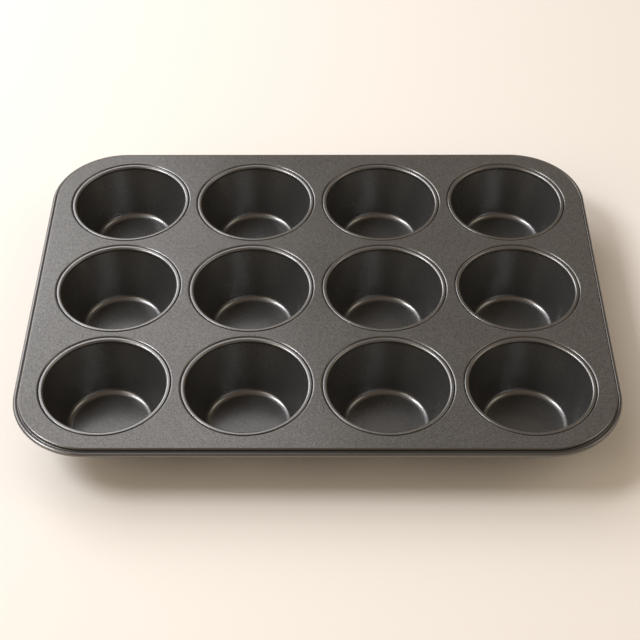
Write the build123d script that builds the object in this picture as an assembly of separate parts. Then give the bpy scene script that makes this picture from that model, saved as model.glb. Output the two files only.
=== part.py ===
from build123d import *
import math
import os

# Twelve-cup muffin tin, millimetres. The pan stands on its twelve cups on the plane z = 0.
# X runs along the long side, Y from the front edge to the back edge, Z up.
#
# It is made of fourteen pieces of metal:
#   deck_plate   one pressed sheet: a flat top with a dished ring round each of twelve holes,
#                a short skirt, and an edge curled outwards round a wire
#   rim_wire     the stiffening wire inside that curl, bent to a loop that meets at the back
#   cup_*        twelve drawn cups. Each hangs in its hole by a hemmed flange that lies in the
#                dished ring. Its wall is swelled out just below the deck, so it can't lift out.

# ---- driving dimensions -------------------------------------------------------------------
CUP_COLUMNS = 4
ROW_NAMES = ("front", "middle", "back")
CUP_PITCH_X = 80.0
CUP_PITCH_Y = 79.0

DECK_LENGTH = 336.0          # over the skirt's outer faces, along X
DECK_WIDTH = 252.0           # the same, along Y
DECK_CORNER_RADIUS = 42.0    # of the skirt's outer face, in plan
DECK_HEIGHT = 35.0           # from the table to the deck's top
DECK_SHEET = 0.5
SHOULDER_RADIUS = 1.0        # outer radius of the bend from deck to skirt

CURL_RADIUS = 1.4            # outside radius of the curled edge
CURL_REACH = 1.5             # from the skirt's outer face out to the curl's centre
CURL_DROP = 3.1              # from the deck's top down to the curl's centre
CREASE_RADIUS = 0.3          # of the hollow bend between skirt and curl
CURL_END_ANGLE = -165.0      # where the sheet ends, measured round the curl from straight out
WIRE_CLEARANCE = 0.05        # all round the wire, inside the curl
WIRE_BUTT_GAP = 0.6          # between the wire's two ends

CUP_SHEET = 0.4
MOUTH_RADIUS = 34.5          # inside the cup's throat
FLOOR_RADIUS = 25.0          # where the cup's wall and floor would meet if they were sharp
FLOOR_CORNER_RADIUS = 4.0    # inside the cup
LIP_RADIUS = 1.3             # of the roll from the throat to the flange
FLANGE_WIDTH = 2.5           # from the throat to the hemmed edge
FLANGE_SINK = 0.25           # the flange's top lies this far below the deck's top
HEM_GAP = 0.2                # between the two layers of the folded edge
HEM_RETURN = 1.2             # how far the folded layer runs back under the flange

LOCK_SWELL = 0.75            # how far the wall swells out from the throat, below the deck
LOCK_SWELL_HEIGHT = 1.0      # the height over which it does so
LOCK_CLEARANCE = 0.1         # between the start of the swell and the deck's underside
LOCK_BEND_RADIUS = 0.55

GROOVE_GAP = 0.15            # between the hemmed edge and the foot of the dished ring
DISH_WALL_RUN = 0.35         # width of the dished ring's steep wall
DISH_EDGE_RADIUS = 1.1       # at the top of that wall
DISH_FOOT_RADIUS = 0.3       # at its foot
DISH_MARGIN = 1.1            # from the top of that wall, over its bend, to flat sheet
HOLE_CLEARANCE = 0.2         # between the throat's outside and the hole's edge

# ---- worked out from them -----------------------------------------------------------------
FLANGE_RADIUS = MOUTH_RADIUS + FLANGE_WIDTH
FLANGE_TOP = DECK_HEIGHT - FLANGE_SINK
HEM_HEIGHT = 2 * CUP_SHEET + HEM_GAP
HEM_BEND_RADIUS = CUP_SHEET + HEM_GAP / 4
SHELF_TOP = FLANGE_TOP - HEM_HEIGHT
SHELF_RADIUS = FLANGE_RADIUS + GROOVE_GAP
DISH_RADIUS = SHELF_RADIUS + DISH_WALL_RUN
DISH_OUTER_RADIUS = DISH_RADIUS + DISH_MARGIN
HOLE_RADIUS = MOUTH_RADIUS + CUP_SHEET + HOLE_CLEARANCE
LOCK_TOP = SHELF_TOP - DECK_SHEET - LOCK_CLEARANCE
WIRE_RADIUS = CURL_RADIUS - DECK_SHEET - WIRE_CLEARANCE
CORNER_X = DECK_LENGTH / 2 - DECK_CORNER_RADIUS
CORNER_Y = DECK_WIDTH / 2 - DECK_CORNER_RADIUS
QUARTER_TURN = 90.0


def offset_corners(points, distance):
    """The corners of a polyline moved `distance` to its right-hand side."""
    normals = []
    for (x0, y0), (x1, y1) in zip(points, points[1:]):
        length = math.hypot(x1 - x0, y1 - y0)
        normals.append(((y1 - y0) / length, (x0 - x1) / length))
    ends = [normals[0]] + normals + [normals[-1]]
    moved = []
    for (x, y), before, after in zip(points, ends, ends[1:]):
        scale = distance / (1 + before[0] * after[0] + before[1] * after[1])
        moved.append((x + scale * (before[0] + after[0]), y + scale * (before[1] + after[1])))
    return moved


def sheet_section(points, radii, thickness):
    """The section of a bent sheet. `points` and `radii` give its left-hand face, and the sheet
    lies to the right of them. A bend keeps the same centre on both faces."""
    turns = []
    for (x0, y0), (x1, y1), (x2, y2) in zip(points, points[1:], points[2:]):
        turns.append(math.copysign(1, (x1 - x0) * (y2 - y1) - (y1 - y0) * (x2 - x1)))
    back_points = offset_corners(points, thickness)
    back_radii = [radius + turn * thickness for radius, turn in zip(radii, turns)]
    outline = points + back_points[::-1]
    outline_radii = [0, *radii, 0, 0, *back_radii[::-1], 0]
    return make_face(FilletPolyline(*outline, radius=outline_radii, close=True))


def turned(section):
    """The solid that a section in (radius, height) makes when turned about Z."""
    return revolve(Plane.XZ * section, Axis.Z)


# ---- the cups -----------------------------------------------------------------------------
def cup():
    """One drawn cup on the Z axis, from its floor on z = 0 to its hemmed flange."""
    inner_face = [
        (0, CUP_SHEET),
        (FLOOR_RADIUS, CUP_SHEET),
        (MOUTH_RADIUS + LOCK_SWELL, LOCK_TOP - LOCK_SWELL_HEIGHT),
        (MOUTH_RADIUS, LOCK_TOP),
        (MOUTH_RADIUS, FLANGE_TOP),
        (FLANGE_RADIUS, FLANGE_TOP),
        (FLANGE_RADIUS, SHELF_TOP),
        (FLANGE_RADIUS - HEM_RETURN, SHELF_TOP),
    ]
    bends = [
        FLOOR_CORNER_RADIUS,
        LOCK_BEND_RADIUS,
        LOCK_BEND_RADIUS,
        LIP_RADIUS,
        HEM_BEND_RADIUS,
        HEM_BEND_RADIUS,
    ]
    return turned(sheet_section(inner_face, bends, CUP_SHEET))


def cup_places():
    """The name and plan position of every cup, row by row from the front."""
    for row, row_name in enumerate(ROW_NAMES):
        for column in range(CUP_COLUMNS):
            x = (column - (CUP_COLUMNS - 1) / 2) * CUP_PITCH_X
            y = (row - (len(ROW_NAMES) - 1) / 2) * CUP_PITCH_Y
            yield f"cup_{row_name}_{column + 1}", x, y


# ---- the deck -----------------------------------------------------------------------------
def polar(centre, radius, angle):
    """The point at `angle` degrees on a circle."""
    turn = math.radians(angle)
    return (centre[0] + radius * math.cos(turn), centre[1] + radius * math.sin(turn))


def skirt_and_curl_section():
    """The sheet's section outside the flat deck: shoulder, skirt, crease and curl.
    x is the plan distance from the corner's centre, y the height."""
    face = DECK_CORNER_RADIUS
    shoulder = (face - SHOULDER_RADIUS, DECK_HEIGHT - SHOULDER_RADIUS)
    curl = (face + CURL_REACH, DECK_HEIGHT - CURL_DROP)
    across = CURL_REACH - CREASE_RADIUS
    above = math.sqrt((CURL_RADIUS + CREASE_RADIUS) ** 2 - across**2)
    crease = (face + CREASE_RADIUS, curl[1] + above)
    meeting = math.degrees(math.atan2(above, -across))
    curl_turn = meeting - CURL_END_ANGLE
    crease_turn = meeting
    inner_curl = CURL_RADIUS - DECK_SHEET
    inner_shoulder = SHOULDER_RADIUS - DECK_SHEET
    outer_crease = CREASE_RADIUS + DECK_SHEET
    outline = [
        CenterArc(shoulder, SHOULDER_RADIUS, 0, QUARTER_TURN),
        Line(polar(shoulder, SHOULDER_RADIUS, 0), polar(crease, CREASE_RADIUS, 180)),
        CenterArc(crease, CREASE_RADIUS, 180, crease_turn),
        CenterArc(curl, CURL_RADIUS, CURL_END_ANGLE, curl_turn),
        Line(polar(curl, CURL_RADIUS, CURL_END_ANGLE), polar(curl, inner_curl, CURL_END_ANGLE)),
        CenterArc(curl, inner_curl, CURL_END_ANGLE, curl_turn),
        CenterArc(crease, outer_crease, 180, crease_turn),
        Line(polar(crease, outer_crease, 180), polar(shoulder, inner_shoulder, 0)),
        CenterArc(shoulder, inner_shoulder, 0, QUARTER_TURN),
        Line(polar(shoulder, inner_shoulder, 90), polar(shoulder, SHOULDER_RADIUS, 90)),
    ]
    return make_face(outline)


def round_the_edge(section):
    """Carries a section round the deck's outline: four straight sides and four corners."""
    upright = Plane.XZ * section
    runs = []
    for quarter in range(4):
        turn = Rot(0, 0, QUARTER_TURN * quarter)
        along_x = quarter % 2
        out, half_run = (CORNER_Y, CORNER_X) if along_x else (CORNER_X, CORNER_Y)
        runs.append(turn * Pos(out, 0, 0) * extrude(upright, half_run, both=True))
        runs.append(turn * Pos(out, half_run, 0) * revolve(upright, Axis.Z, QUARTER_TURN))
    return runs


def dished_ring():
    """The ring of sheet round one hole, on the Z axis: a steep wall down to a flat shelf."""
    top_face = [
        (HOLE_RADIUS, SHELF_TOP),
        (SHELF_RADIUS, SHELF_TOP),
        (DISH_RADIUS, DECK_HEIGHT),
        (DISH_OUTER_RADIUS, DECK_HEIGHT),
    ]
    return turned(sheet_section(top_face, [DISH_FOOT_RADIUS, DISH_EDGE_RADIUS], DECK_SHEET))


def deck_plate():
    """The whole pressed sheet."""
    flat = RectangleRounded(
        DECK_LENGTH - 2 * SHOULDER_RADIUS,
        DECK_WIDTH - 2 * SHOULDER_RADIUS,
        DECK_CORNER_RADIUS - SHOULDER_RADIUS,
    )
    ring = dished_ring()
    rings = []
    for _, x, y in cup_places():
        flat -= Pos(x, y) * Circle(DISH_OUTER_RADIUS)
        rings.append(Pos(x, y, 0) * ring)
    plate = extrude(Pos(0, 0, DECK_HEIGHT) * flat, -DECK_SHEET)
    return plate.fuse(*rings, *round_the_edge(skirt_and_curl_section())).clean()


def rim_wire():
    """The stiffening wire in the curl. It is bent from one length, and its ends face each
    other at the middle of the back."""
    section = Pos(DECK_CORNER_RADIUS + CURL_REACH, DECK_HEIGHT - CURL_DROP) * Circle(WIRE_RADIUS)
    first, *others = round_the_edge(section)
    loop = first.fuse(*others).clean()
    curl_line = DECK_WIDTH / 2 + CURL_REACH
    cut = Box(WIRE_BUTT_GAP, 4 * WIRE_RADIUS, 4 * WIRE_RADIUS)
    return loop - Pos(0, curl_line, DECK_HEIGHT - CURL_DROP) * cut


# ---- write one STEP file for each piece ---------------------------------------------------
def main():
    """Builds every piece in its place and writes it to parts/."""
    os.makedirs("parts", exist_ok=True)
    export_step(deck_plate(), "parts/deck_plate.step")
    export_step(rim_wire(), "parts/rim_wire.step")
    one_cup = cup()
    for name, x, y in cup_places():
        export_step(Pos(x, y, 0) * one_cup, f"parts/{name}.step")


main()
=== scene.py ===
"""A muffin tin: a pressed steel deck, its edge curled over a wire, with drawn cups seamed into it.

Sizes are in millimetres, and a mesh is written in metres. A section is drawn with x outwards from
the middle of the part and y upwards, and Geometry Nodes turn it about an axis or carry it round
the deck's outline.
"""

import logging
import math
from dataclasses import dataclass, field
from enum import Enum
from typing import Any, ClassVar

import bmesh
import bpy
from mathutils import Matrix, Vector


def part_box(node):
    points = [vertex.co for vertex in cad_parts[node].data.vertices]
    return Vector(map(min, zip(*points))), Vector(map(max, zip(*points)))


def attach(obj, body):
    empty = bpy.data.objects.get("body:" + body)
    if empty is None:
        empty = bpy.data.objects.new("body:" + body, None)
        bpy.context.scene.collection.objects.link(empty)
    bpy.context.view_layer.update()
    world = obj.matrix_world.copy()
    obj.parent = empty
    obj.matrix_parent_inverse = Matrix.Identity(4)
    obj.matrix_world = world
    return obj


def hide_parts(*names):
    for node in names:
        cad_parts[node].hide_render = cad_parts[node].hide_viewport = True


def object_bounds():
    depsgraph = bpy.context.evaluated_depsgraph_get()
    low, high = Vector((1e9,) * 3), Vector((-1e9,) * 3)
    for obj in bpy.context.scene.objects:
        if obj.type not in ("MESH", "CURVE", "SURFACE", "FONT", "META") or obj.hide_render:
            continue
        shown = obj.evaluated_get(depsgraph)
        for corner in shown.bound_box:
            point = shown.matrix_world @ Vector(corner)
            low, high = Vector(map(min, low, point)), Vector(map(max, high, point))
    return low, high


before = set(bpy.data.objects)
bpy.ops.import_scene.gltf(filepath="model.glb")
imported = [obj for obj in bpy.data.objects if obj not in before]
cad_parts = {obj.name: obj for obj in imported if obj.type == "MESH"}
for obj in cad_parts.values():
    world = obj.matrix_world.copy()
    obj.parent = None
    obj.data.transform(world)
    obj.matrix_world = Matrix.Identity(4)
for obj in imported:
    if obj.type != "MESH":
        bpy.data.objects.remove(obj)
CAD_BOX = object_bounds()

MM = 0.001
BODY = "root"
SAME_PLACE = 1e-4                  # two points of a section this near each other are one
WELD = 0.002                       # and so are two corners of a mesh this near, in millimetres
FOLD = 50.0                        # an edge that turns more than this, in degrees, is a cut one
TOP = CAD_BOX[1].z / MM            # height of the deck's top, in millimetres
Point = tuple[float, float]

log = logging.getLogger("muffin_tin")


# ---- nodes --------------------------------------------------------------------------------
def linear(hex_colour: str) -> tuple[float, float, float, float]:
    """Turns an sRGB colour into the linear one that a shader takes.

    Args:
        hex_colour: six hexadecimal digits, red first.

    Returns:
        Red, green, blue and an alpha of 1.
    """
    shares = [int(hex_colour[i : i + 2], 16) / 255 for i in (0, 2, 4)]
    red, green, blue = (
        share / 12.92 if share <= 0.04045 else ((share + 0.055) / 1.055) ** 2.4 for share in shares
    )
    return red, green, blue, 1.0


def add_node(
    tree: bpy.types.NodeTree,
    kind: str,
    settings: dict[str, Any] | None = None,
    inputs: dict[str | int, Any] | None = None,
) -> bpy.types.Node:
    """Adds one node to a tree.

    Args:
        tree: the tree that takes the node.
        kind: the node's type, as Blender names it.
        settings: properties of the node and their values.
        inputs: sockets, by name or number, with a value, an output socket to link, or a list of
            output sockets where the socket takes several.

    Returns:
        The new node.
    """
    node = tree.nodes.new(kind)
    for name, value in (settings or {}).items():
        setattr(node, name, value)
    for key, value in (inputs or {}).items():
        for item in value if isinstance(value, list) else [value]:
            if isinstance(item, bpy.types.NodeSocket):
                tree.links.new(item, node.inputs[key])
            else:
                node.inputs[key].default_value = item
    return node


# ---- sections of bent sheet ---------------------------------------------------------------
@dataclass(frozen=True)
class Bend:
    """A corner of a section and the radius that it is bent to."""

    x: float
    y: float
    radius: float = 0.0


def polar(centre: Point, radius: float, angle: float) -> Point:
    """The point at an angle, in degrees, on a circle."""
    turn = math.radians(angle)
    return centre[0] + radius * math.cos(turn), centre[1] + radius * math.sin(turn)


def around(centre: Point, radius: float, start: float, turn: float) -> list[Bend]:
    """The corners of the lines that touch an arc, for a bend that goes too far round for one.

    Args:
        centre: the arc's centre.
        radius: the arc's radius.
        start: the angle at which it starts, in degrees.
        turn: how far it goes, in degrees, anticlockwise if positive.

    Returns:
        The corners in order, each with the arc's radius.
    """
    count = math.ceil(abs(turn) / 90)
    share = turn / count
    reach = radius / math.cos(math.radians(share / 2))
    return [Bend(*polar(centre, reach, start + share * (i + 0.5)), radius) for i in range(count)]


def other_face(face: list[Bend], thickness: float) -> list[Bend]:
    """The back of a sheet, from its front.

    Args:
        face: the front's corners. The sheet lies on their right-hand side.
        thickness: the sheet's thickness.

    Returns:
        The back's corners in the same order, bent about the same centres.
    """
    normals = []
    for here, there in zip(face, face[1:]):
        length = math.hypot(there.x - here.x, there.y - here.y)
        normals.append(((there.y - here.y) / length, (here.x - there.x) / length))
    ends = [normals[0], *normals, normals[-1]]
    back = []
    for corner, before, after in zip(face, ends, ends[1:]):
        scale = thickness / (1 + before[0] * after[0] + before[1] * after[1])
        turn = math.copysign(1, before[0] * after[1] - before[1] * after[0])
        radius = corner.radius + turn * thickness if corner.radius else 0.0
        x = corner.x + scale * (before[0] + after[0])
        y = corner.y + scale * (before[1] + after[1])
        back.append(Bend(x, y, radius))
    return back


def outline(corners: list[Bend], step: float = 9.0, hold: float = 0.1) -> list[Point]:
    """The points of a section whose corners are bent to their radii.

    Args:
        corners: the corners in order.
        step: the largest turn between two points of a bend, in degrees.
        hold: how far from a bend a straight run gets one more point, so that the run is shaded
            flat and only the bend is shaded round.

    Returns:
        The points from the first corner to the last.
    """
    points = [Vector((corners[0].x, corners[0].y))]
    for before, corner, after in zip(corners, corners[1:], corners[2:]):
        here = Vector((corner.x, corner.y))
        coming = (here - Vector((before.x, before.y))).normalized()
        going = (Vector((after.x, after.y)) - here).normalized()
        turn = coming.angle_signed(going)
        reach = corner.radius * math.tan(abs(turn) / 2)
        first = here - coming * reach
        run = (first - points[-1]).length
        if run > 4 * hold:
            points += [points[-1] + coming * hold, first - coming * hold]
        count = math.ceil(abs(math.degrees(turn)) / step) if corner.radius else 0
        side = Vector((-coming.y, coming.x)) * math.copysign(corner.radius, -turn)
        centre = first + side
        for i in range(count + 1):
            points.append(centre + Matrix.Rotation(-turn * i / max(count, 1), 2) @ -side)
    last = Vector((corners[-1].x, corners[-1].y))
    coming = (last - points[-1]).normalized()
    if (last - points[-1]).length > 4 * hold:
        points += [points[-1] + coming * hold, last - coming * hold]
    points.append(last)
    kept = [points[0]]
    for point in points[1:]:
        if (point - kept[-1]).length > SAME_PLACE:
            kept.append(point)
    return [(point.x, point.y) for point in kept]


def line_object(name: str, points: list[tuple[float, float, float]]) -> bpy.types.Object:
    """A mesh of edges only, from one point to the next.

    Args:
        name: the object's name.
        points: the points, in millimetres.

    Returns:
        The object, linked to the scene.
    """
    mesh = bpy.data.meshes.new(name)
    places = [tuple(value * MM for value in point) for point in points]
    mesh.from_pydata(places, [(i, i + 1) for i in range(len(points) - 1)], [])
    thing = bpy.data.objects.new(name, mesh)
    bpy.context.scene.collection.objects.link(thing)
    return thing


def section_object(name: str, section: list[Point], start: float = 0.0) -> bpy.types.Object:
    """A section as a line that a sweep can carry.

    Args:
        name: the object's name.
        section: the section's points.
        start: the distance outwards that the sweep's path already stands for.

    Returns:
        The object. A sweep lays a section's Y downwards, so the line is drawn upside down.
    """
    return line_object(name, [(x - start, -y, 0.0) for x, y in section])


# ---- Geometry Nodes -----------------------------------------------------------------------
class Socket(Enum):
    """The kinds of input that the trees here take."""

    SIZE = "NodeSocketFloat"
    NUMBER = "NodeSocketInt"
    PLACE = "NodeSocketVector"
    THING = "NodeSocketObject"
    FINISH = "NodeSocketMaterial"


class Workshop:
    """A Geometry Nodes tree with named inputs, which is run once on an object."""

    def __init__(self, name: str, inputs: dict[str, Socket]) -> None:
        """Makes the tree with its group input.

        Args:
            name: the tree's name.
            inputs: each named input and its kind.
        """
        self.tree = bpy.data.node_groups.new(name, "GeometryNodeTree")
        self.keys: dict[str, str] = {}
        face = self.tree.interface
        face.new_socket("Geometry", in_out="INPUT", socket_type="NodeSocketGeometry")
        face.new_socket("Geometry", in_out="OUTPUT", socket_type="NodeSocketGeometry")
        for label, kind in inputs.items():
            made = face.new_socket(label, in_out="INPUT", socket_type=kind.value)
            self.keys[label] = made.identifier
        self.given = add_node(self.tree, "NodeGroupInput").outputs

    def node(self, kind: str, inputs: dict[str | int, Any], **settings: Any) -> Any:
        """Adds a node and returns its first output."""
        return add_node(self.tree, kind, settings, inputs).outputs[0]

    def math(self, operation: str, *values: Any) -> Any:
        """A sum of numbers, by Blender's name for it, as an output."""
        return self.node("ShaderNodeMath", dict(enumerate(values)), operation=operation)

    def close(self, shape: Any) -> None:
        """Ends the tree: welds the shape, smooths its bends, keeps its cut edges and coats it.

        Args:
            shape: the output that holds the shape.
        """
        weld = {0: shape, "Distance": WELD * MM}
        welded = self.node("GeometryNodeMergeByDistance", weld)
        fold = add_node(self.tree, "GeometryNodeInputMeshEdgeAngle").outputs["Unsigned Angle"]
        sharp = self.math("GREATER_THAN", fold, math.radians(FOLD))
        smooth = self.node("GeometryNodeSetShadeSmooth", {0: welded, "Shade Smooth": True})
        cut = {0: smooth, "Selection": sharp, "Shade Smooth": False}
        edged = self.node("GeometryNodeSetShadeSmooth", cut, domain="EDGE")
        real = self.node("GeometryNodeRealizeInstances", {0: edged})
        coat = {0: real, "Material": self.given["Finish"]}
        coated = self.node("GeometryNodeSetMaterial", coat)
        add_node(self.tree, "NodeGroupOutput", None, {0: coated})

    def run(self, thing: bpy.types.Object, values: dict[str, Any]) -> bpy.types.Object:
        """Runs the tree on an object and leaves the result as its plain mesh.

        Args:
            thing: the object whose geometry enters the tree.
            values: what each named input is set to.

        Returns:
            The same object, with no modifier and with faces that point outwards.
        """
        modifier = thing.modifiers.new(self.tree.name, "NODES")
        modifier.node_group = self.tree
        for label, value in values.items():
            modifier[self.keys[label]] = value
        graph = bpy.context.evaluated_depsgraph_get()
        made = bpy.data.meshes.new_from_object(thing.evaluated_get(graph), depsgraph=graph)
        made.name = thing.name
        thing.modifiers.remove(modifier)
        thing.data = made
        face_outwards(made)
        return thing


def face_outwards(mesh: bpy.types.Mesh) -> None:
    """Turns every face of a closed mesh outwards.

    Args:
        mesh: the mesh, which is changed in its place.
    """
    shape = bmesh.new()
    shape.from_mesh(mesh)
    bmesh.ops.recalc_face_normals(shape, faces=shape.faces)
    if shape.calc_volume(signed=True) < 0:
        bmesh.ops.reverse_faces(shape, faces=shape.faces)
    shape.to_mesh(mesh)
    shape.free()


def turning_tree() -> Workshop:
    """The tree that turns a section about an upright axis, as a spun or drawn piece.

    Returns:
        The tree. The object it runs on is the section's line.
    """
    kinds = {
        "Radius": Socket.SIZE,
        "Steps": Socket.NUMBER,
        "Centre": Socket.PLACE,
        "Finish": Socket.FINISH,
    }
    shop = Workshop("turned_piece", kinds)
    section = shop.node("GeometryNodeMeshToCurve", {0: shop.given["Geometry"]})
    ring = {"Resolution": shop.given["Steps"], "Radius": shop.given["Radius"]}
    circle = shop.node("GeometryNodeCurvePrimitiveCircle", ring)
    sweep = {"Curve": circle, "Profile Curve": section}
    turned = shop.node("GeometryNodeCurveToMesh", sweep)
    move = {0: turned, "Translation": shop.given["Centre"]}
    shop.close(shop.node("GeometryNodeTransform", move))
    return shop


def pressing_tree() -> Workshop:
    """The tree that presses the deck: a flat sheet with holes, dished rings and an edge.

    Returns:
        The tree. Its inputs give the whole plate, so the object it runs on is empty.
    """
    kinds = {
        "Length": Socket.SIZE,
        "Width": Socket.SIZE,
        "Corner Radius": Socket.SIZE,
        "Corner Steps": Socket.NUMBER,
        "Top": Socket.SIZE,
        "Sheet": Socket.SIZE,
        "Columns": Socket.NUMBER,
        "Rows": Socket.NUMBER,
        "Pitch X": Socket.SIZE,
        "Pitch Y": Socket.SIZE,
        "Hole Radius": Socket.SIZE,
        "Hole Steps": Socket.NUMBER,
        "Dish Section": Socket.THING,
        "Edge Section": Socket.THING,
        "Finish": Socket.FINISH,
    }
    shop = Workshop("pressed_deck", kinds)
    given = shop.given
    box = {"Width": given["Length"], "Height": given["Width"]}
    square = shop.node("GeometryNodeCurvePrimitiveQuadrilateral", box)
    fillet = {0: square, "Count": given["Corner Steps"], "Radius": given["Corner Radius"]}
    edge = shop.node("GeometryNodeFilletCurve", fillet, mode="POLY")
    grid = {"Vertices X": given["Columns"], "Vertices Y": given["Rows"]}
    for axis, count in (("X", "Columns"), ("Y", "Rows")):
        gaps = shop.math("SUBTRACT", given[count], 1)
        grid[f"Size {axis}"] = shop.math("MULTIPLY", gaps, given[f"Pitch {axis}"])
    centres = shop.node("GeometryNodeMeshGrid", grid)
    ring = {"Resolution": given["Hole Steps"], "Radius": given["Hole Radius"]}
    hole = shop.node("GeometryNodeCurvePrimitiveCircle", ring)

    def at_each_hole(item: Any) -> Any:
        """Copies of one item, one on each hole's centre."""
        copies = shop.node("GeometryNodeInstanceOnPoints", {"Points": centres, "Instance": item})
        return shop.node("GeometryNodeRealizeInstances", {0: copies})

    def swept(path: Any, label: str) -> Any:
        """A section, carried along a path.

        Args:
            path: the path.
            label: the input that names the section's object.

        Returns:
            The swept faces.
        """
        source = add_node(shop.tree, "GeometryNodeObjectInfo", None, {"Object": given[label]})
        section = shop.node("GeometryNodeMeshToCurve", {0: source.outputs["Geometry"]})
        return shop.node("GeometryNodeCurveToMesh", {"Curve": path, "Profile Curve": section})

    lines = shop.node("GeometryNodeJoinGeometry", {0: [edge, at_each_hole(hole)]})
    top = shop.node("GeometryNodeFillCurve", {0: lines})
    down = shop.math("MULTIPLY", given["Sheet"], -1)
    drop = shop.node("ShaderNodeCombineXYZ", {"Z": down})
    below = shop.node("GeometryNodeTransform", {0: top, "Translation": drop})
    underside = shop.node("GeometryNodeFlipFaces", {0: below})
    rings = at_each_hole(swept(hole, "Dish Section"))
    parts = [top, underside, rings, swept(edge, "Edge Section")]
    plate = shop.node("GeometryNodeJoinGeometry", {0: parts})
    rise = shop.node("ShaderNodeCombineXYZ", {"Z": given["Top"]})
    shop.close(shop.node("GeometryNodeTransform", {0: plate, "Translation": rise}))
    return shop


def wire_tree() -> Workshop:
    """The tree that lays a round wire along a line.

    Returns:
        The tree. The object it runs on is the line.
    """
    kinds = {"Radius": Socket.SIZE, "Steps": Socket.NUMBER, "Finish": Socket.FINISH}
    shop = Workshop("bent_wire", kinds)
    path = shop.node("GeometryNodeMeshToCurve", {0: shop.given["Geometry"]})
    ring = {"Resolution": shop.given["Steps"], "Radius": shop.given["Radius"]}
    circle = shop.node("GeometryNodeCurvePrimitiveCircle", ring)
    sweep = {"Curve": path, "Profile Curve": circle, "Fill Caps": True}
    shop.close(shop.node("GeometryNodeCurveToMesh", sweep))
    return shop


# ---- finishes -----------------------------------------------------------------------------
MIX_A, MIX_B, MIX_COLOUR = 6, 7, 2    # a mix node's colour sockets, which share their names
NOISE_LOW, NOISE_HIGH = 0.35, 0.65    # nearly all of a noise node's values lie between these


def per_metre(size: float) -> float:
    """A pattern's scale, from the real size of one of its grains in millimetres."""
    return 1 / (size * MM)


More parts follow.
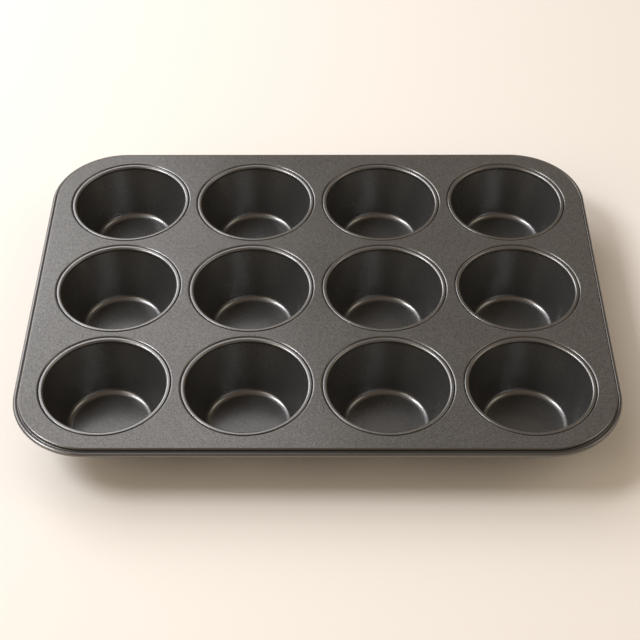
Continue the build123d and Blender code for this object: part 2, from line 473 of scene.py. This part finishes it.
@dataclass(frozen=True)
class NonStickCoating:
    """Sprayed and baked non-stick coating on steel, filled with fine metal flake.

    It is a dark, slightly warm grey. The flake gives it a soft metallic sheen, and the spray dries
    to a faint orange peel with a finer grit in it. Where the sheet is rolled to an edge, the bends
    are painted lighter and more metallic, a painted highlight that makes those bends shine more.
    The narrow hollows are painted darker, as painted shade.
    """

    name: str
    colour: str
    grit_colour: str
    # painted highlight: the lighter colour that the rolled bends are painted
    edge_highlight_colour: str
    metallic: float
    edge_metallic: float
    edge_start: float            # height at which the painted highlight on the bend begins, in millimetres
    edge_full: float             # height at which the painted highlight is full
    foot_start: float = 0.0      # heights of the same painted highlight at a bent foot, if there is one
    foot_full: float = 0.0
    foot_end: float = 0.0
    painted_shade_colour: str = ""      # painted shade for the hollows, if there is any
    hollow_top: float = 0.0      # heights between which that is
    hollow_foot: float = 0.0
    hollow_blend: float = 0.2
    roughness: float = 0.22
    ior: float = 1.45
    peel: float = 2.6            # width of one swell of the orange peel
    grit: float = 0.55           # the real grit is finer and wouldn't show
    cloud: float = 28.0          # size of the patches where the spray fell thicker
    peel_depth: float = 0.010
    grit_depth: float = 0.014
    grit_share: float = 0.5      # how much of its colour the grit gives the surface at most
    grit_detail: float = 3.0
    patchiness: float = 0.03     # how far the roughness differs from patch to patch

    def material(self) -> bpy.types.Material:
        """Makes the material.

        Returns:
            The material, whose patterns read the object's coordinates.
        """
        made = bpy.data.materials.new(self.name)
        made.use_nodes = True
        tree = made.node_tree
        tree.nodes.clear()
        place = add_node(tree, "ShaderNodeTexCoord").outputs["Object"]

        def noise(size: float, detail: float = 2.0) -> Any:
            """Noise of one grain size."""
            sizes = {"Vector": place, "Scale": per_metre(size), "Detail": detail}
            return add_node(tree, "ShaderNodeTexNoise", None, sizes).outputs["Fac"]

        def stretched(value: Any, low: float, high: float) -> Any:
            """Noise spread over a range of values.

            Args:
                value: the noise.
                low: what its lowest values become.
                high: what its highest values become.

            Returns:
                The output with the new values.
            """
            spread = {"Value": value, "From Min": NOISE_LOW, "From Max": NOISE_HIGH}
            spread.update({"To Min": low, "To Max": high})
            return add_node(tree, "ShaderNodeMapRange", None, spread).outputs["Result"]

        grit = noise(self.grit, self.grit_detail)
        cloud = noise(self.cloud)
        speckle = stretched(grit, 0.0, self.grit_share)
        ends = {0: speckle, MIX_A: linear(self.colour), MIX_B: linear(self.grit_colour)}
        mixed = add_node(tree, "ShaderNodeMix", {"data_type": "RGBA"}, ends)
        height = add_node(tree, "ShaderNodeSeparateXYZ", None, {0: place}).outputs["Z"]

        def between(start: float, full: float) -> Any:
            """How far a height, in millimetres, has passed from one level to another."""
            span = {"Value": height, "From Min": start * MM, "From Max": full * MM}
            return add_node(tree, "ShaderNodeMapRange", None, span).outputs["Result"]

        # painted highlight: bands of height at the bends are painted lighter and more metallic
        rolled = between(self.edge_start, self.edge_full)
        if self.foot_start:
            ends = {0: between(self.foot_start, self.foot_full)}
            ends[1] = between(self.foot_end, self.foot_full)
            foot = add_node(tree, "ShaderNodeMath", {"operation": "MULTIPLY"}, ends)
            both = {0: rolled, 1: foot.outputs[0]}
            rolled = add_node(tree, "ShaderNodeMath", {"operation": "MAXIMUM"}, both).outputs[0]
        painted_highlight_mix = {0: rolled, MIX_A: mixed.outputs[MIX_COLOUR], MIX_B: linear(self.edge_highlight_colour)}
        colour = add_node(tree, "ShaderNodeMix", {"data_type": "RGBA"}, painted_highlight_mix)
        # painted shade: the hollows between these heights are painted darker
        if self.painted_shade_colour:
            ends = {0: between(self.hollow_top, self.hollow_top - self.hollow_blend)}
            ends[1] = between(self.hollow_foot, self.hollow_foot + self.hollow_blend)
            hollow = add_node(tree, "ShaderNodeMath", {"operation": "MULTIPLY"}, ends)
            shade = {0: hollow.outputs[0], MIX_A: colour.outputs[MIX_COLOUR]}
            shade[MIX_B] = linear(self.painted_shade_colour)
            colour = add_node(tree, "ShaderNodeMix", {"data_type": "RGBA"}, shade)
        shine = {"Value": rolled, "To Min": self.metallic, "To Max": self.edge_metallic}
        metallic = add_node(tree, "ShaderNodeMapRange", None, shine)
        patchy = stretched(cloud, -self.patchiness, self.patchiness)
        sheen = add_node(
            tree, "ShaderNodeMath", {"operation": "ADD"}, {0: patchy, 1: self.roughness}
        )
        swell = {"Height": noise(self.peel), "Distance": self.peel_depth * MM, "Strength": 1.0}
        peel = add_node(tree, "ShaderNodeBump", None, swell)
        grain = {"Height": grit, "Distance": self.grit_depth * MM, "Strength": 1.0}
        bump = add_node(tree, "ShaderNodeBump", None, {**grain, "Normal": peel.outputs[0]})
        shader = add_node(
            tree,
            "ShaderNodeBsdfPrincipled",
            None,
            {
                "Base Color": colour.outputs[MIX_COLOUR],
                "Metallic": metallic.outputs["Result"],
                "Roughness": sheen.outputs[0],
                "IOR": self.ior,
                "Normal": bump.outputs[0],
            },
        )
        add_node(tree, "ShaderNodeOutputMaterial", None, {"Surface": shader.outputs[0]})
        return made


@dataclass(frozen=True)
class DrawnWire:
    """Plain drawn steel wire: bright grey, with fine scratches from the die."""

    name: str = "drawn_steel_wire"
    colour: str = "8f8c88"
    smoothest: float = 0.28
    roughest: float = 0.5
    scratch: float = 0.4

    def material(self) -> bpy.types.Material:
        """Makes the material.

        Returns:
            The material, whose scratches read the object's coordinates.
        """
        made = bpy.data.materials.new(self.name)
        made.use_nodes = True
        tree = made.node_tree
        tree.nodes.clear()
        place = add_node(tree, "ShaderNodeTexCoord").outputs["Object"]
        grain = {"Vector": place, "Scale": per_metre(self.scratch)}
        noise = add_node(tree, "ShaderNodeTexNoise", None, grain)
        spread = {"Value": noise.outputs["Fac"], "To Min": self.smoothest, "To Max": self.roughest}
        rough = add_node(tree, "ShaderNodeMapRange", None, spread)
        metal = {
            "Base Color": linear(self.colour),
            "Metallic": 1.0,
            "Roughness": rough.outputs[0],
        }
        shader = add_node(tree, "ShaderNodeBsdfPrincipled", None, metal)
        add_node(tree, "ShaderNodeOutputMaterial", None, {"Surface": shader.outputs[0]})
        return made


class Coat(Enum):
    """The two coatings on the tin."""

    DECK = NonStickCoating(
        name="deck_coating",
        colour="53514e",
        grit_colour="93908c",
        # painted highlight: the bends just below the deck's top are painted lighter and more
        # metallic
        edge_highlight_colour="787572",
        metallic=0.48,
        edge_metallic=0.8,
        edge_start=TOP - 0.01,
        edge_full=TOP - 0.06,
        # painted shade: the groove of each dished ring is painted darker
        painted_shade_colour="4a4947",
        hollow_top=TOP - 0.3,
        hollow_foot=TOP - 1.8,
    )
    CUP = NonStickCoating(
        name="cup_coating",
        colour="5b5a58",
        grit_colour="898785",
        # painted highlight: the lips below the deck and the floor fillets are painted lighter and
        # more metallic
        edge_highlight_colour="848280",
        metallic=0.74,
        edge_metallic=0.9,
        edge_start=TOP - 1.8,
        edge_full=TOP - 1.2,
        foot_start=0.42,
        foot_full=1.2,
        foot_end=3.6,
        roughness=0.26,
        grit_depth=0.006,
    )


# ---- the cups -----------------------------------------------------------------------------
@dataclass
class Cup:
    """One drawn cup. It hangs in the deck by a hemmed flange, and its wall is swelled out just
    below the deck, so it can't lift out."""

    node: str
    sheet: float = 0.4
    mouth_radius: float = 34.5
    floor_radius: float = 25.0
    floor_corner_radius: float = 4.0
    lip_radius: float = 1.3
    hem_gap: float = 0.2
    hem_return: float = 1.2
    lock_swell: float = 0.75
    lock_swell_height: float = 1.0
    lock_clearance: float = 0.1
    lock_bend_radius: float = 0.55
    deck_sheet: float = 0.5
    steps: int = 144
    shop: ClassVar[Workshop | None] = None

    def section(self) -> list[Point]:
        """The sheet's section, from the axis round the hem and back.

        Returns:
            Points from the axis on the floor's upper face to the axis on its underside.
        """
        low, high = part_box(self.node)
        rim = (high.x - low.x) / 2 / MM
        top = high.z / MM
        hem_height = 2 * self.sheet + self.hem_gap
        hem_radius = self.sheet + self.hem_gap / 4
        hem_bottom = top - hem_height
        lock_top = hem_bottom - self.deck_sheet - self.lock_clearance
        swell = self.mouth_radius + self.lock_swell
        inside = [
            Bend(0.0, self.sheet),
            Bend(self.floor_radius, self.sheet, self.floor_corner_radius),
            Bend(swell, lock_top - self.lock_swell_height, self.lock_bend_radius),
            Bend(self.mouth_radius, lock_top, self.lock_bend_radius),
            Bend(self.mouth_radius, top, self.lip_radius),
            Bend(rim, top, hem_radius),
            Bend(rim, hem_bottom, hem_radius),
            Bend(rim - self.hem_return, hem_bottom),
        ]
        return outline(inside + other_face(inside, self.sheet)[::-1])

    def build(self, finish: bpy.types.Material) -> bpy.types.Object:
        """Turns the cup in its place.

        Args:
            finish: the coating.

        Returns:
            The cup, in place of its frame node.
        """
        low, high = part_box(self.node)
        Cup.shop = Cup.shop or turning_tree()
        blank = section_object(f"{self.node}_shell", self.section(), self.mouth_radius)
        sizes = {
            "Radius": self.mouth_radius * MM,
            "Steps": self.steps,
            "Centre": ((low.x + high.x) / 2, (low.y + high.y) / 2, 0.0),
            "Finish": finish,
        }
        return hand_over(Cup.shop.run(blank, sizes), self.node)


# ---- the deck -----------------------------------------------------------------------------
@dataclass
class Deck:
    """The pressed plate: a flat top with a dished ring round each hole, a short skirt, and an
    edge curled outwards over the rim wire."""

    node: str = "deck_plate"
    wire_node: str = "rim_wire"
    cups: list[Cup] = field(default_factory=list)
    sheet: float = 0.5
    corner_radius: float = 42.0
    shoulder_radius: float = 1.0
    curl_radius: float = 1.4
    curl_reach: float = 1.5
    curl_drop: float = 3.1
    crease_radius: float = 0.3
    curl_end_angle: float = -165.0
    wire_clearance: float = 0.05
    wire_butt_gap: float = 0.6
    groove_gap: float = 0.15
    dish_wall_run: float = 0.35
    dish_edge_radius: float = 1.1
    dish_foot_radius: float = 0.3
    dish_margin: float = 1.1
    hole_clearance: float = 0.2
    flat_margin: float = 0.5
    corner_steps: int = 28
    hole_steps: int = 128
    wire_steps: int = 20

    def dish_section(self) -> tuple[list[Point], float]:
        """The section of the ring round one hole.

        Returns:
            Its points, with y from the deck's top, and the radius of the flat sheet's hole.
        """
        cup = self.cups[0]
        low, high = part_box(cup.node)
        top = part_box(self.node)[1].z
        flange = (high.x - low.x) / 2 / MM
        shelf = (high.z - top) / MM - 2 * cup.sheet - cup.hem_gap
        foot = flange + self.groove_gap
        hole = cup.mouth_radius + cup.sheet + self.hole_clearance
        start = foot + self.dish_wall_run + self.dish_margin
        upper = [
            Bend(hole, shelf),
            Bend(foot, shelf, self.dish_foot_radius),
            Bend(foot + self.dish_wall_run, 0.0, self.dish_edge_radius),
            Bend(start, 0.0),
        ]
        lower = other_face(upper, self.sheet)
        return outline(upper[::-1] + lower), start

    def edge_section(self) -> list[Point]:
        """The section outside the flat sheet: shoulder, skirt, crease and curl.

        Returns:
            Points from the flat's upper face round the curl and back to its underside, with x
            from the flat's edge and y from the deck's top.
        """
        skirt = self.flat_margin + self.shoulder_radius
        curl = (skirt + self.curl_reach, -self.curl_drop)
        across = self.curl_reach - self.crease_radius
        above = math.sqrt((self.curl_radius + self.crease_radius) ** 2 - across**2)
        crease = (skirt + self.crease_radius, curl[1] + above)
        meeting = math.degrees(math.atan2(above, -across))
        turn = meeting - self.curl_end_angle
        inner = self.curl_radius - self.sheet
        corners = [
            Bend(0.0, 0.0),
            Bend(skirt, 0.0, self.shoulder_radius),
            *around(crease, self.crease_radius, 180.0, meeting),
            *around(curl, self.curl_radius, meeting, -turn),
            Bend(*polar(curl, self.curl_radius, self.curl_end_angle)),
            Bend(*polar(curl, inner, self.curl_end_angle)),
            *around(curl, inner, self.curl_end_angle, turn),
            *around(crease, self.crease_radius + self.sheet, 180.0 + meeting, -meeting),
            Bend(skirt - self.sheet, -self.sheet, self.shoulder_radius - self.sheet),
            Bend(0.0, -self.sheet),
        ]
        return outline(corners)

    def build(self, finish: bpy.types.Material) -> bpy.types.Object:
        """Presses the deck in its place.

        Args:
            finish: the coating.

        Returns:
            The deck, in place of its frame node.
        """
        low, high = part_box(self.node)
        proud = self.curl_reach + self.curl_radius
        inset = proud + self.shoulder_radius + self.flat_margin
        dish, hole = self.dish_section()
        ring = section_object("dish_section", dish, hole)
        edge = section_object("edge_section", self.edge_section())
        centres = [(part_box(cup.node)[0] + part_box(cup.node)[1]) / 2 for cup in self.cups]
        columns = sorted({round(centre.x, 5) for centre in centres})
        rows = sorted({round(centre.y, 5) for centre in centres})
        sizes = {
            "Length": high.x - low.x - 2 * inset * MM,
            "Width": high.y - low.y - 2 * inset * MM,
            "Corner Radius": (self.corner_radius - self.shoulder_radius - self.flat_margin) * MM,
            "Corner Steps": self.corner_steps,
            "Top": high.z,
            "Sheet": self.sheet * MM,
            "Columns": len(columns),
            "Rows": len(rows),
            "Pitch X": columns[1] - columns[0],
            "Pitch Y": rows[1] - rows[0],
            "Hole Radius": hole * MM,
            "Hole Steps": self.hole_steps,
            "Dish Section": ring,
            "Edge Section": edge,
            "Finish": finish,
        }
        blank = bpy.data.objects.new("deck_sheet", bpy.data.meshes.new("deck_sheet"))
        bpy.context.scene.collection.objects.link(blank)
        deck = pressing_tree().run(blank, sizes)
        for helper in (ring, edge):
            bpy.data.objects.remove(helper)
        return hand_over(deck, self.node)

    def wire(self, finish: bpy.types.Material) -> bpy.types.Object:
        """Bends the stiffening wire inside the curl.

        Args:
            finish: the wire's metal.

        Returns:
            The wire, in place of its frame node.
        """
        low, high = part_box(self.node)
        radius = self.curl_radius - self.sheet - self.wire_clearance
        line = self.corner_radius + self.curl_reach
        half_x = high.x / MM - self.curl_radius - line
        half_y = high.y / MM - self.curl_radius - line
        level = high.z / MM - self.curl_drop
        path = [(-self.wire_butt_gap / 2, half_y + line, level)]
        centres = ((-half_x, half_y), (-half_x, -half_y), (half_x, -half_y), (half_x, half_y))
        for quarter, (x, y) in enumerate(centres):
            for i in range(self.corner_steps + 1):
                angle = 90.0 * (quarter + 1 + i / self.corner_steps)
                path.append((*polar((x, y), line, angle), level))
        path.append((self.wire_butt_gap / 2, half_y + line, level))
        blank = line_object("rim_wire_loop", path)
        sizes = {"Radius": radius * MM, "Steps": self.wire_steps, "Finish": finish}
        return hand_over(wire_tree().run(blank, sizes), self.wire_node)


def hand_over(piece: bpy.types.Object, node: str) -> bpy.types.Object:
    """Puts a finished piece in place of a frame node.

    Args:
        piece: the piece.
        node: the node that it stands for.

    Returns:
        The piece.
    """
    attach(piece, BODY)
    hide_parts(node)
    log.info("%s: %d faces", piece.name, len(piece.data.polygons))
    return piece


# ---- the studio ---------------------------------------------------------------------------
@dataclass(frozen=True)
class Softbox:
    """A square studio light."""

    name: str
    azimuth: float               # degrees anticlockwise from +X, seen from above
    elevation: float
    distance: float              # metres
    size: float                  # metres
    power: float                 # watts
    colour: str = "ffffff"

    def build(self, aim: Vector) -> None:
        """Hangs the light so that it faces a point.

        Args:
            aim: the point, in metres.
        """
        data = bpy.data.lights.new(self.name, "AREA")
        data.shape = "SQUARE"
        data.size = self.size
        data.energy = self.power
        data.color = linear(self.colour)[:3]
        lamp = bpy.data.objects.new(self.name, data)
        bpy.context.scene.collection.objects.link(lamp)
        turn, rise = math.radians(self.azimuth), math.radians(self.elevation)
        level = math.cos(rise)
        way = Vector((math.cos(turn) * level, math.sin(turn) * level, math.sin(rise)))
        lamp.location = aim + way * self.distance
        lamp.rotation_mode = "QUATERNION"
        lamp.rotation_quaternion = way.to_track_quat("Z", "Y")


@dataclass(frozen=True)
class Studio:
    """The plain pale table, the soft lights and the camera.

    The daylight comes from the left and from behind the tin, and the room fills the rest softly.
    """

    lights: tuple[Softbox, ...] = (
        Softbox("key_light", 180.0, 49.0, 1.8, 0.6, 15.6, "f3f7ff"),
        Softbox("left_strip", 155.0, 38.0, 1.9, 0.6, 4.8, "f3f7ff"),
        Softbox("low_strip", 140.0, 25.0, 1.9, 0.7, 2.7, "f3f7ff"),
        Softbox("back_strip", 125.0, 32.0, 1.9, 0.7, 5.6, "f3f7ff"),
        Softbox("back_light", 120.0, 50.0, 2.2, 1.4, 10.3, "f3f7ff"),
        Softbox("left_fill", 215.0, 30.0, 1.8, 1.0, 6.4, "fff8e8"),
        Softbox("right_fill", 0.0, 40.0, 1.8, 1.0, 3.4, "fff8e8"),
    )
    sky_colour: str = "ffe9cf"
    sky_strength: float = 0.29
    table_colour: str = "faf2e8"
    table_roughness: float = 0.9
    table_size: float = 4.0      # metres
    camera_distance: float = 0.8391    # metres
    camera_elevation: float = 45.40    # degrees, as the next two are
    camera_turn: float = 0.20
    camera_roll: float = -0.18
    camera_aim: Point = (0.00141, -0.02823)    # metres from the tin's centre
    camera_near: float = 0.01    # metres
    sensor: float = 36.0         # millimetres, as the lens is
    lens: float = 80.27

    def camera(self, height: float) -> None:
        """Stands the camera so that it looks down on the deck.

        Args:
            height: the deck's top, in metres.
        """
        data = bpy.data.cameras.new("camera")
        data.sensor_width = self.sensor
        data.lens = self.lens
        data.clip_start = self.camera_near
        eye = bpy.data.objects.new("camera", data)
        bpy.context.scene.collection.objects.link(eye)
        turn, rise = math.radians(self.camera_turn), math.radians(self.camera_elevation)
        along = math.cos(rise)
        back = Vector((math.sin(turn) * along, -math.cos(turn) * along, math.sin(rise)))
        eye.location = Vector((*self.camera_aim, height)) + back * self.camera_distance
        eye.rotation_mode = "QUATERNION"
        level = (-back).to_track_quat("-Z", "Y")
        tilt = Matrix.Rotation(math.radians(self.camera_roll), 3, "Z").to_quaternion()
        eye.rotation_quaternion = level @ tilt
        bpy.context.scene.camera = eye

    def table(self) -> None:
        """Lays the matt pale table under the tin."""
        half = self.table_size / 2
        mesh = bpy.data.meshes.new("table")
        corners = [(-half, -half, 0), (half, -half, 0), (half, half, 0), (-half, half, 0)]
        mesh.from_pydata(corners, [], [(0, 1, 2, 3)])
        top = bpy.data.objects.new("table", mesh)
        bpy.context.scene.collection.objects.link(top)
        paper = bpy.data.materials.new("pale_paper")
        paper.use_nodes = True
        shader = paper.node_tree.nodes["Principled BSDF"]
        shader.inputs["Base Color"].default_value = linear(self.table_colour)
        shader.inputs["Roughness"].default_value = self.table_roughness
        mesh.materials.append(paper)

    def sky(self) -> None:
        """Fills the room with soft even light."""
        world = bpy.data.worlds.new("room")
        world.use_nodes = True
        room = world.node_tree.nodes["Background"]
        room.inputs["Color"].default_value = linear(self.sky_colour)
        room.inputs["Strength"].default_value = self.sky_strength
        bpy.context.scene.world = world

    def build(self) -> None:
        """Sets the whole studio up round the tin."""
        low, high = CAD_BOX
        self.table()
        self.sky()
        for light in self.lights:
            light.build((low + high) / 2)
        self.camera(high.z)
        bpy.context.scene.view_settings.view_transform = "Standard"


def main() -> None:
    """Builds the tin and the studio."""
    logging.basicConfig(level=logging.INFO, format="%(name)s %(message)s")
    cup_coat, deck_coat = Coat.CUP.value.material(), Coat.DECK.value.material()
    cups = [Cup(name) for name in sorted(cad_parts) if name.startswith("cup_")]
    for cup in cups:
        cup.build(cup_coat)
    deck = Deck(cups=cups)
    deck.build(deck_coat)
    deck.wire(DrawnWire().material())
    Studio().build()


if __name__ == "__main__":
    main()
